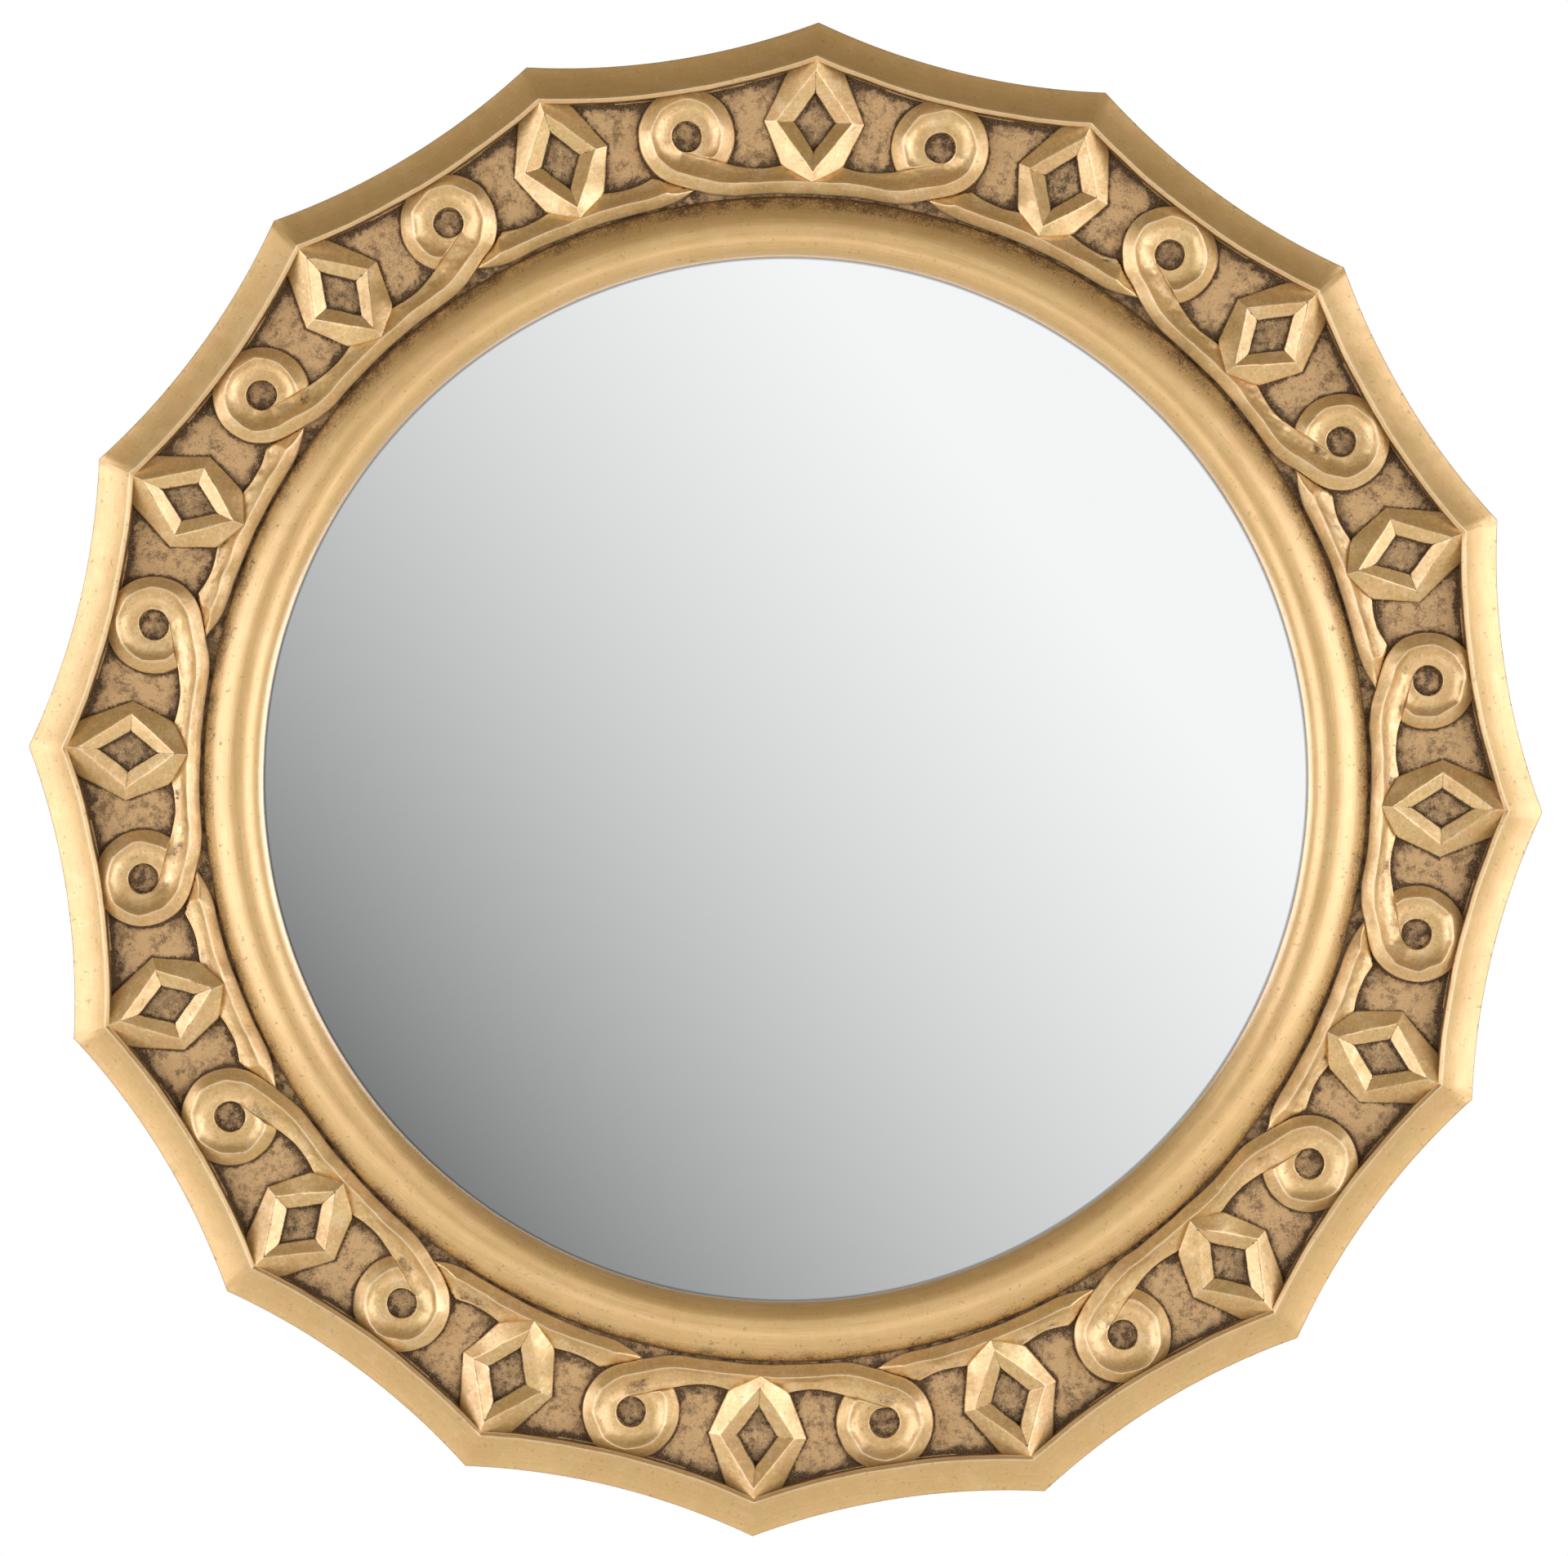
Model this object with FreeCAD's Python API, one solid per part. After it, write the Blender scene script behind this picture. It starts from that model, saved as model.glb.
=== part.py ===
import FreeCAD, Part
import math
import os

# Round wall mirror in a carved sixteen-point frame. Lengths are millimetres, angles degrees.
# Everything is drawn lying on its back: x to the right, y up the wall, z forward from the wall.
# The last step stands it up, so that the front looks along -Y and the wall plane is Y = 0.

# Plan of the frame
overall_diameter = 610.0      # across two opposite points
point_count = 16              # points round the outline, one lozenge on each
scallop_dip = 6.1             # dip of an outline arc below the straight line between its points
rim_width = 14.7              # cove moulding along the outline
field_width = 43.5            # carved field from moulding to bead, in the middle of a scallop
bead_width = 24.5             # half-round bead round the glass

# Ground ring, glass and backing
ground_thickness = 15.0       # back plane to the rough ground face
glass_thickness = 4.0
glass_cover = 8.0             # how far the bead laps over the glass
glass_clearance = 1.0         # play round the edge of the glass
board_thickness = 6.0
board_lap = 13.0              # ledge under the edge of the back board
board_clearance = 0.6         # play round the edge of the back board

# Rim moulding section, heights above the ground face
rim_flats = 8                 # flats that one scallop is cut in
rim_edge_height = 3.0         # outer edge
rim_lip_height = 9.5          # crisp inner lip
rim_hollow = 1.3              # depth of the cove below a straight slope
lip_bevel_width = 2.3
lip_bevel_drop = 1.8

# Bead section, heights above the ground face
bead_height = 11.0
bead_cuts = 7                 # flats that the half round is shaped in

# Scroll band section, heights above the ground face
crease_gap = 0.8              # open crease between bead and band
band_width = 10.4             # at the middle of a band
band_flats = 5                # flats between the two leads
band_bevel = 4.6              # bevel from the inner edge to the ridge
band_ridge_height = 6.5
band_edge_height = 3.0        # top of the upright inner edge
band_hollow_height = 2.4      # where the hollow side ends at the eye
band_hollow_sag = 1.2         # depth of the hollow below a straight slope

# Curls
eye_radius = 5.8              # drilled eye
eye_to_rim = 16.7             # eye centre to the rim's inner edge
curl_standoff = 6.5           # curl circle to the line of the band's inner edge
curl_lead = 10.3              # band leaves its circle this far before the eye
curl_flats = 14               # flats that a curl is cut in
curl_lean = 5.0               # the curl leans over so that its end passes under the band
scoop_cuts = 4                # flats of the scoop between a curl and a lozenge
tuck_width = 2.6              # bevel where a link dips under a curl

# Lozenges, heights above the ground face
lozenge_width = 39.4          # across the side corners
crest_width = 29.4
crest_length = 40.0
crest_side_height = 4.0       # crest at the side corners
crest_end_height = 9.0        # crest at the inner and outer ends
shoulder_width = 25.0         # between the shoulders above the band
shoulder_rise = 1.0           # shoulders above the band's middle width
recess_width = 16.0
recess_length = 24.0
recess_floor = 0.6
recess_slope_height = 2.0     # inner facets at the recess's side corners

# Strap hangers in pockets of the back
hanger_angle = 72.0           # either side of the top
hanger_set = 31.7             # centre of the pocket, outside the edge of the back board's rebate
pocket_width = 31.0
pocket_length = 66.0
pocket_depth = 6.0
strap_width = 14.0
strap_length = 34.0
strap_thickness = 1.2
strap_clip = 4.0              # clipped corners at the foot
ring_wire = 3.0               # the ring's bar
ring_leg_wire = 2.9           # its other sides, over the corners of their flats
ring_cuts = 6                 # flats round its top
ring_bend = 3.0               # bend at the foot of each leg, to the wire's centre
ring_leg = 5.0                # straight part of a leg
ring_side_play = 0.3
knuckle_play = 0.08           # running fit round the ring's bar
ring_rest_gap = 0.15          # ring to pocket floor when it leans back

# Derived layout
pitch = 360.0 / point_count
half_pitch = pitch / 2.0
point_radius = overall_diameter / 2.0
half_chord = point_radius * math.sin(math.radians(half_pitch))
chord_distance = point_radius * math.cos(math.radians(half_pitch))
scallop_radius = (half_chord ** 2 + scallop_dip ** 2) / (2.0 * scallop_dip)
scallop_centre = chord_distance - scallop_dip + scallop_radius
scallop_half = math.degrees(math.asin(half_chord / scallop_radius))
scallop_step = 2.0 * scallop_half / rim_flats
field_outer = scallop_centre - scallop_radius - rim_width
bead_outer = field_outer - field_width
sight_radius = bead_outer - bead_width
glass_radius = sight_radius + glass_cover
opening_radius = glass_radius + glass_clearance
rebate_radius = opening_radius + board_lap
rebate_depth = ground_thickness - glass_thickness
hanger_radius = rebate_radius + hanger_set
band_inner = bead_outer + crease_gap
ridge_radius = band_inner + band_bevel
band_outer = band_inner + band_width
eye_distance = field_outer - eye_to_rim
curl_radius = eye_distance - band_inner - curl_standoff
section_width = curl_radius - eye_radius
gouge_height = (band_ridge_height + band_hollow_height) / 2.0 - band_hollow_sag
top = ground_thickness + 40.0
lead_angle = math.degrees(curl_lead / band_inner)

X_AXIS = FreeCAD.Vector(1, 0, 0)
Z_AXIS = FreeCAD.Vector(0, 0, 1)
CENTRE = FreeCAD.Vector(0, 0, 0)


def polar(radius, angle, z=0.0):
    """Point at a radius, with the angle taken clockwise from the top."""
    a = math.radians(angle)
    return FreeCAD.Vector(radius * math.sin(a), radius * math.cos(a), z)


def lifted(point, z):
    return FreeCAD.Vector(point.x, point.y, z)


def polygon(points):
    return Part.Face(Part.makePolygon(points + [points[0]]))


def prism(flat, low, high):
    """Flat face at z = 0 carried from one height to another."""
    solid = flat.extrude(FreeCAD.Vector(0, 0, high - low))
    solid.translate(FreeCAD.Vector(0, 0, low))
    return solid


def skin(rings, closed=False):
    """Solid of flat faces through rings of as many corners, one after the other."""
    faces = []
    if not closed:
        faces = [polygon(list(reversed(rings[0]))), polygon(rings[-1])]
    followers = rings[1:] + rings[:1] if closed else rings[1:]
    for near, far in zip(rings, followers):
        for k in range(len(near)):
            n = (k + 1) % len(near)
            faces.append(polygon([near[k], near[n], far[n], far[k]]))
    return Part.Solid(Part.Shell(faces))


def mitred(path, section, closed=False):
    """Section of (offset to the left, height) points at each corner of a flat path, mitred there."""
    sides = []
    for a, b in zip(path, path[1:] + path[:1]):
        along = (b - a).normalize()
        sides.append(FreeCAD.Vector(-along.y, along.x, 0))
    if not closed:
        sides[-1] = sides[-2]
    rings = []
    for k, corner in enumerate(path):
        before = sides[k - 1] if closed or k > 0 else sides[k]
        both = before + sides[k]
        mitre = both * (2.0 / both.dot(both))
        rings.append([corner + mitre * offset + Z_AXIS * height for offset, height in section])
    return rings


def turned(shape, angle):
    """Copy turned clockwise about the middle of the mirror."""
    copy = shape.copy()
    copy.rotate(CENTRE, Z_AXIS, -angle)
    return copy


def mirrored(shape):
    return shape.mirror(CENTRE, X_AXIS)


def corner_radius(inset):
    """Distance from the middle to the corner on a point line, for an outline moved inward."""
    last_flat = math.radians(scallop_half - scallop_step / 2.0)
    reach = scallop_radius * math.cos(math.radians(scallop_step / 2.0)) + inset
    return (scallop_centre * math.cos(last_flat) - reach) / math.cos(math.radians(half_pitch) + last_flat)


def scallop(inset):
    """Corners of one outline arc, cut in flats and moved inward, from one point line to the next."""
    reach = scallop_radius + inset / math.cos(math.radians(scallop_step / 2.0))
    corners = [polar(corner_radius(inset), -half_pitch)]
    for k in range(1, rim_flats):
        turn = scallop_half - k * scallop_step
        corners.append(FreeCAD.Vector(0, scallop_centre, 0) - polar(reach, turn))
    return corners + [polar(corner_radius(inset), half_pitch)]


def outline(inset):
    """Scalloped outline moved inward by the inset."""
    corners = []
    for k in range(point_count):
        turn = FreeCAD.Rotation(Z_AXIS, -(k + 0.5) * pitch)
        corners.extend(turn.multVec(corner) for corner in scallop(inset)[:-1])
    return polygon(corners)


def disc(radius, low, high):
    return Part.makeCylinder(radius, high - low, FreeCAD.Vector(0, 0, low))


def rim_length():
    """One cove moulding along a scallop, mitred on the point lines at both ends."""
    base = ground_thickness
    crest_inset = rim_width - lip_bevel_width
    cove_height = (rim_edge_height + rim_lip_height) / 2.0 - rim_hollow
    section = [
        (0.0, base),
        (0.0, base + rim_edge_height),
        (crest_inset / 2.0, base + cove_height),
        (crest_inset, base + rim_lip_height),
        (rim_width, base + rim_lip_height - lip_bevel_drop),
        (rim_width, base),
    ]
    lines = [[lifted(corner, height) for corner in scallop(inset)] for inset, height in section]
    return skin([list(ring) for ring in zip(*lines)])


def bead_ring():
    """Half round turned about the middle of the mirror."""
    middle = (sight_radius + bead_outer) / 2.0
    points = []
    for k in range(bead_cuts + 1):
        turn = math.pi * k / bead_cuts
        radius = middle - bead_width / 2.0 * math.cos(turn)
        points.append(FreeCAD.Vector(0, radius, ground_thickness + bead_height * math.sin(turn)))
    return polygon(points).revolve(CENTRE, Z_AXIS, 360)


def band_section():
    """Band section as (offset, height) from its inner edge: hollow side, ridge, bevel, upright edge."""
    base = ground_thickness
    return [
        (section_width, base),
        (section_width, base + band_hollow_height),
        ((band_bevel + section_width) / 2.0, base + gouge_height),
        (band_bevel, base + band_ridge_height),
        (0.0, base + band_edge_height),
        (0.0, base),
    ]


class Curl:
    """Layout of the right-hand curl of a band that is centred on the top point line."""

    def __init__(self):
        self.eye = polar(eye_distance, half_pitch)
        self.lead = polar(band_inner, half_pitch - lead_angle)
        reach = self.lead - self.eye
        spread = math.acos(curl_radius / reach.Length)
        self.to_touch = FreeCAD.Rotation(Z_AXIS, math.degrees(spread)).multVec(reach).normalize()
        self.touch = self.eye + self.to_touch * curl_radius
        self.run = (self.touch - self.lead).normalize()
        self.across = self.to_touch * -1.0
        half_cut = math.sqrt(curl_radius ** 2 - eye_radius ** 2)
        self.corner = self.eye + self.to_touch * eye_radius - self.run * half_cut

    def flats(self, radius, z):
        """Corners of the many-sided outline round the eye, one flat lying along the straight run."""
        corners = []
        for k in range(curl_flats):
            turn = FreeCAD.Rotation(Z_AXIS, (k + 0.5) * 360.0 / curl_flats)
            reach = radius / math.cos(math.pi / curl_flats)
            corners.append(lifted(self.eye, z) + turn.multVec(self.to_touch) * reach)
        return corners


def band(curl):
    """Band section carried in flats round the bead and straight on to the curls, with its two scoops."""
    reach = half_pitch - lead_angle
    path = [polar(band_inner, reach * (2.0 * k / band_flats - 1.0)) for k in range(band_flats + 1)]
    start = FreeCAD.Vector(-curl.touch.x, curl.touch.y, 0)
    whole = skin(mitred([start] + path + [curl.touch], band_section()))
    cutter = scoop(curl)
    return whole.cut(cutter).cut(mirrored(cutter))


def scoop(curl):
    """Gouged hollow that leaves the rough ground between a curl and a lozenge."""
    shoulder = polar(band_outer + shoulder_rise, math.degrees(0.5 * shoulder_width / band_outer))
    start = FreeCAD.Vector(-1.0, shoulder.y, 0)
    corner_angle = math.degrees(math.atan2(curl.corner.x, curl.corner.y))
    shoulder_angle = math.degrees(math.atan2(shoulder.x, shoulder.y))
    bottom = polar(band_outer, 0.5 * (corner_angle + shoulder_angle))
    far = polar(curl.corner.Length + 2.0 * section_width, 0.5 * (corner_angle + shoulder_angle))
    out = far - bottom
    sweep = Part.Arc(shoulder, bottom, curl.corner).toShape().discretize(scoop_cuts + 1)
    return prism(polygon([start] + sweep + [curl.corner + out, start + out]), 0, top)


def curl_body(curl):
    """Band section cut in flats round the eye. It leans so that its end passes under the band."""
    base = ground_thickness
    high = base + band_ridge_height
    eye_high = base + band_hollow_height
    ridge = curl_radius - band_bevel
    gouge = (ridge + eye_radius) / 2.0
    gouge_high = base + gouge_height
    slope = (band_ridge_height - band_edge_height) / band_bevel
    lower = 2.0 * band_bevel
    above = gouge + (ridge - gouge) * (high + band_ridge_height - gouge_high) / (high - gouge_high)

    form = skin([curl.flats(curl_radius + lower, base + band_edge_height - slope * lower),
                 curl.flats(ridge, high)])
    form = form.cut(skin([curl.flats(eye_radius, eye_high), curl.flats(gouge, gouge_high),
                          curl.flats(above, high + band_ridge_height)]))
    form.rotate(lifted(curl.eye, high), curl.to_touch, curl_lean)
    tube = polygon(curl.flats(curl_radius, 0)).cut(polygon(curl.flats(eye_radius, 0)))
    reach = 2.0 * curl_radius
    cut_start = curl.eye + curl.to_touch * eye_radius
    strip = polygon([
        cut_start,
        cut_start + curl.to_touch * reach,
        cut_start + curl.to_touch * reach - curl.run * reach,
        cut_start - curl.run * reach,
    ])
    return form.common(prism(tube.cut(strip), base, top))


def c_scroll(curl, field):
    body = curl_body(curl)
    whole = band(curl).fuse([body, mirrored(body)])
    return whole.removeSplitter().common(field)


def curl_footprint(curl):
    """Upright prism over everything that the curl and its straight run cover."""
    round_part = prism(polygon(curl.flats(curl_radius, 0)), 0, top)
    reach = curl.run * -section_width
    strip = polygon([
        curl.touch,
        curl.lead,
        curl.lead + reach,
        curl.lead + reach + curl.across * section_width,
        curl.touch + curl.across * section_width,
    ])
    return round_part.fuse(prism(strip, 0, top))


def tuck_cone(curl):
    """Cone that bevels a link's end down to the edge of the curl beside it."""
    low = ground_thickness + band_edge_height - tuck_width * 0.5
    return skin([curl.flats(curl_radius, low), curl.flats(curl_radius + top - low, top)])


def link_band(curl):
    """Band without curls, its ends scribed to the curls on both sides."""
    whole = band(curl)
    right = turned(mirrored(curl_footprint(curl)), pitch)
    tuck = tuck_cone(curl)
    for cutter in (right, tuck):
        whole = whole.cut(cutter).cut(mirrored(cutter))
    return max(whole.removeSplitter().Solids, key=lambda piece: piece.Volume)


def rhombus(half_u, half_v, centre_radius, z):
    middle = FreeCAD.Vector(0, centre_radius, z)
    corners = [(half_u, 0), (0, half_v), (-half_u, 0), (0, -half_v)]
    return [middle + FreeCAD.Vector(u, v, 0) for u, v in corners]


def lozenge(under, field):
    """Long four-sided pyramid hollowed by an inverted one, over the band below and inside the rim."""
    base = ground_thickness
    outer_tip = corner_radius(rim_width)
    centre = (outer_tip + ridge_radius) / 2.0
    half_length = (outer_tip - ridge_radius) / 2.0
    half_width = lozenge_width / 2.0
    crest_u = crest_width / 2.0
    crest_v = crest_length / 2.0
    side_slope = crest_side_height / (half_width - crest_u)
    apex = side_slope * half_width
    end_slope = (apex - crest_end_height) / crest_v
    foot = rhombus(half_width, apex / end_slope, centre, base)
    shrink = 0.02
    peak = rhombus(half_width * shrink, apex / end_slope * shrink, centre, base + apex * (1.0 - shrink))
    body = skin([foot, peak])
    dish_u = (crest_side_height - recess_slope_height) / (crest_u - recess_width / 2.0)
    dish_foot = crest_side_height - dish_u * crest_u
    dish_v = (crest_end_height - dish_foot) / crest_v
    high = 2.0 * crest_end_height
    low = recess_floor + 0.1
    bowl_low = rhombus((low - dish_foot) / dish_u, (low - dish_foot) / dish_v, centre, base + low)
    bowl_high = rhombus((high - dish_foot) / dish_u, (high - dish_foot) / dish_v, centre, base + high)
    body = body.cut(skin([bowl_low, bowl_high]))
    recess = polygon(rhombus(recess_width / 2.0, recess_length / 2.0, centre, 0))
    body = body.cut(prism(recess, base + recess_floor, top))
    shoulder_y = band_outer + shoulder_rise
    half_shoulder = shoulder_width / 2.0
    ends = polygon([
        FreeCAD.Vector(0, ridge_radius, 0),
        FreeCAD.Vector(half_shoulder, shoulder_y, 0),
        FreeCAD.Vector(half_width, centre, 0),
        FreeCAD.Vector(half_width, centre + 2.0 * half_length, 0),
        FreeCAD.Vector(-half_width, centre + 2.0 * half_length, 0),
        FreeCAD.Vector(-half_width, centre, 0),
        FreeCAD.Vector(-half_shoulder, shoulder_y, 0),
    ])
    body = body.common(prism(ends, 0, top)).common(field).cut(under)
    return max(body.Solids, key=lambda piece: piece.Volume)


class Hanger:
    """Strap and ring in one pocket of the back. The ring's bar lies along x."""

    def __init__(self, side):
        middle = polar(hanger_radius, side * hanger_angle)
        self.leg_half = strap_width / 2.0 + ring_side_play + ring_bend
        self.ring_rise = ring_bend + ring_leg + self.leg_half
        drop = (strap_length - self.ring_rise) / 2.0
        self.pivot = FreeCAD.Vector(middle.x, middle.y + drop, self.axis_height())
        self.middle = middle

    def axis_height(self):
        return pocket_depth - strap_thickness - knuckle_play - ring_wire / 2.0

    def pocket(self):
        half_w = pocket_width / 2.0
        half_l = pocket_length / 2.0
        corner = FreeCAD.Vector(self.middle.x - half_w, self.middle.y - half_l, -1.0)
        return Part.makeBox(pocket_width, pocket_length, pocket_depth + 1.0, corner)

    def strap(self):
        half = strap_width / 2.0
        head = lifted(self.pivot, 0)
        outline_points = [
            (half, 0.0),
            (half, strap_clip - strap_length),
            (half - strap_clip, -strap_length),
            (strap_clip - half, -strap_length),
            (-half, strap_clip - strap_length),
            (-half, 0.0),
        ]
        flat = polygon([head + FreeCAD.Vector(x, y, 0) for x, y in outline_points])
        plate = prism(flat, pocket_depth - strap_thickness, pocket_depth)
        bore = ring_wire / 2.0 + knuckle_play
        start = self.pivot - X_AXIS * half
        knuckle = Part.makeCylinder(bore + strap_thickness, strap_width, start, X_AXIS)
        body = plate.fuse(knuckle).cut(Part.makeCylinder(bore, strap_width, start, X_AXIS))
        return body.removeSplitter()

    def ring(self):
        """Closed wire ring: bar, two bends, two legs and a round top, leaning back to the pocket floor."""
        wide = self.leg_half
        bar = wide - ring_bend
        shoulder = ring_bend + ring_leg
        corners = [(bar, 0.0), (wide, ring_bend)]
        for k in range(ring_cuts + 1):
            turn = math.pi * k / ring_cuts
            corners.append((wide * math.cos(turn), shoulder + wide * math.sin(turn)))
        corners += [(-wide, ring_bend), (-bar, 0.0)]
        path = [self.pivot + FreeCAD.Vector(x, y, 0) for x, y in corners]
        section = []
        for k in range(8):
            turn = math.radians(45.0 * k + 22.5)
            section.append((ring_leg_wire / 2.0 * math.cos(turn), ring_leg_wire / 2.0 * math.sin(turn)))
        loop = skin(mitred(path, section, True), True)
        wire = ring_wire / 2.0
        solid = loop.fuse(Part.makeCylinder(wire, 2.0 * bar, path[-1], X_AXIS)).removeSplitter()
        room = pocket_depth - wire - ring_rest_gap - self.pivot.z
        lean = math.degrees(math.asin(room / self.ring_rise))
        solid.rotate(self.pivot, X_AXIS, lean)
        return solid


def stand(shape):
    """From lying on its back to hanging on a wall."""
    copy = shape.copy()
    copy.rotate(CENTRE, X_AXIS, 90)
    return copy


def main():
    os.makedirs("parts", exist_ok=True)
    nodes = {}
    field = prism(outline(rim_width), ground_thickness, top)
    curl = Curl()
    scroll = c_scroll(curl, field)
    link = link_band(curl)
    moulding = rim_length()
    hangers = {"left": Hanger(1), "right": Hanger(-1)}

    ground = prism(outline(0), 0, ground_thickness)
    ground = ground.cut(disc(opening_radius, -1, top)).cut(disc(rebate_radius, -1, rebate_depth))
    for hanger in hangers.values():
        ground = ground.cut(hanger.pocket())
    nodes["ground_ring"] = ground
    nodes["bead_ring"] = bead_ring()
    nodes["mirror_glass"] = disc(glass_radius, ground_thickness - glass_thickness, ground_thickness)
    board_radius = rebate_radius - board_clearance
    nodes["back_board"] = disc(board_radius, rebate_depth - board_thickness, rebate_depth)

    for k in range(point_count):
        nodes["rim_length_%02d" % (k + 1)] = turned(moulding, (k + 0.5) * pitch)
    over_scroll = lozenge(scroll, field)
    over_link = lozenge(link, field)
    for k in range(point_count // 2):
        nodes["c_scroll_%02d" % (k + 1)] = turned(scroll, 2 * k * pitch)
        nodes["link_band_%02d" % (k + 1)] = turned(link, (2 * k + 1) * pitch)
        nodes["lozenge_%02d" % (2 * k + 1)] = turned(over_scroll, 2 * k * pitch)
        nodes["lozenge_%02d" % (2 * k + 2)] = turned(over_link, (2 * k + 1) * pitch)

    for name, hanger in hangers.items():
        nodes["hanger_strap_" + name] = hanger.strap()
        nodes["hanger_ring_" + name] = hanger.ring()

    for name, shape in nodes.items():
        stand(shape).exportStep("parts/" + name + ".step")
        box = stand(shape).BoundBox
        print("%-20s solids %2d  valid %s  volume %9.1f  y %.1f to %.1f" % (
            name, len(shape.Solids), shape.isValid(), shape.Volume, box.YMin, box.YMax))


main()
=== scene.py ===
import math

import bmesh
import bpy
import numpy as np
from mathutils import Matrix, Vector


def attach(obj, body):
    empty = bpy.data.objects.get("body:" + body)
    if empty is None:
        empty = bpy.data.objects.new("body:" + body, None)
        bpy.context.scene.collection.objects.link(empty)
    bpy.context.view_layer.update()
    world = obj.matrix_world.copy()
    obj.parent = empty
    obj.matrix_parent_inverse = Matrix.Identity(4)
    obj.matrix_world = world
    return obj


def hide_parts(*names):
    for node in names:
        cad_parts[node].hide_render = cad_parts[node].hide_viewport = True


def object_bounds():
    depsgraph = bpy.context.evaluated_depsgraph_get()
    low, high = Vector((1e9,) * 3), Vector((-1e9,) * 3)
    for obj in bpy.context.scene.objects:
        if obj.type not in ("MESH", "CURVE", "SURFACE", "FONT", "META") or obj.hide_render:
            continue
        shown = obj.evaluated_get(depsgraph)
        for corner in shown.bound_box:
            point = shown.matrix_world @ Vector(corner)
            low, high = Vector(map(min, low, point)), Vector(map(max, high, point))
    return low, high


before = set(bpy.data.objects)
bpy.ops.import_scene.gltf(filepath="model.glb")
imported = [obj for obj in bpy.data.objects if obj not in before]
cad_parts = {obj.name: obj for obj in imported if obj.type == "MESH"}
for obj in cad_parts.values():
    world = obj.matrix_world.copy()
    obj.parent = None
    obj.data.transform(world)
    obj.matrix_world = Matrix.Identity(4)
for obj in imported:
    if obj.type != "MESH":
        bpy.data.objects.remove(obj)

cadLow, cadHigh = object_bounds()
scene = bpy.context.scene
scene.view_settings.view_transform = "Standard"
print("frame loaded:", len(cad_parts), "nodes")

# Layout of the frame in mm, seen from the front: x right, y up, h from the ground face to the front
mm = 0.001  # metres
layout = {"points": 16, "scallopDip": 6.1, "rimWidth": 14.7, "fieldWidth": 43.5, "beadWidth": 24.5,
          "ground": 15.0, "beadGap": 0.8, "eyeToRim": 16.7, "curlStandoff": 6.5, "curlLead": 10.3, "eye": 6.1,
          "sunk": -0.3}  # walls end this far below the ground face

tipRadius = 500.0 * (cadHigh[0] - cadLow[0])
pitch = 360.0 / layout["points"]
halfPitch = math.radians(pitch / 2)
chordHalf, chordFar = tipRadius * math.sin(halfPitch), tipRadius * math.cos(halfPitch)
scallopRadius = (chordHalf ** 2 + layout["scallopDip"] ** 2) / (2 * layout["scallopDip"])
scallopCentre = chordFar - layout["scallopDip"] + scallopRadius
fieldOuter = scallopCentre - scallopRadius - layout["rimWidth"]
beadOuter = fieldOuter - layout["fieldWidth"]
sightRadius = beadOuter - layout["beadWidth"]
bandInner = beadOuter + layout["beadGap"]
eyeDistance = fieldOuter - layout["eyeToRim"]
curlRadius = eyeDistance - bandInner - layout["curlStandoff"]
bandFull = curlRadius - layout["eye"]  # width of the band's section where nothing trims it


def numbered(name, k):
    return "%s_%02d" % (name, k + 1)


def place(x, y, h, turn=0.0):
    # plan point turned clockwise about the middle, then stood up: front is -Y
    c, s = math.cos(math.radians(turn)), math.sin(math.radians(turn))
    x, y, h = np.broadcast_arrays(x, y, h)
    return np.stack([x * c + y * s, -layout["ground"] - h, y * c - x * s], -1)


def scallopEdge(inset, angle):
    # distance from the middle to a scallop moved in by inset, at an angle from the scallop's own axis:
    # the near crossing of a ray with a circle
    aside = scallopCentre * np.sin(angle)
    return scallopCentre * np.cos(angle) - np.sqrt((scallopRadius + inset) ** 2 - aside ** 2)


def bell(distance, reach):
    # 1 at no distance, falling off on both sides as a bell of that reach
    return np.exp(-(distance / reach) ** 2)


def ripple(p, size, seed):
    # smooth noise from -1 to 1: hashed numbers on a lattice of that size in mm, blended between eight corners
    cell = np.floor(p / size).astype(np.int64)
    f = p / size - cell
    f = f * f * (3 - 2 * f)
    total = np.zeros(p.shape[:-1])
    for corner in range(8):
        step = np.array([corner & 1, corner >> 1 & 1, corner >> 2])
        c = cell + step
        n = c[..., 0] * 73856093 ^ c[..., 1] * 19349663 ^ c[..., 2] * 83492791 ^ seed * 2654435
        n = (n ^ n >> 13) * 1274126177 & 0x7fffffff
        n = (n ^ n >> 11) & 0xffff
        total += np.prod(np.where(step, f, 1 - f), -1) * (n / 32767.5 - 1)
    return total


# The hand: sizes in mm and shares of the noises, and the radius near which the outline is kept true
hand = {"sideways": ((19.0, 1.0), (6.0, 0.45), (2.3, 0.16)), "upward": ((13.0, 1.0), (4.5, 0.45)),
        "trueRadius": 292.0, "trueFade": 10.0}


def handCut(p, sideways, upward):
    # unsteady cutting: noises added in plan and in height; in plan they fade out towards the outline
    plan = sideways * np.clip((hand["trueRadius"] - np.hypot(p[..., 0], p[..., 2])) / hand["trueFade"], 0, 1)
    moved = p.copy()
    for axis, amount, layers, seed in ((0, plan, "sideways", 1), (2, plan, "sideways", 2),
                                       (1, upward, "upward", 3)):
        moved[..., axis] += amount * sum(share * ripple(p, size, seed + 3 * k)
                                         for k, (size, share) in enumerate(hand[layers]))
    return moved


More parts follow.
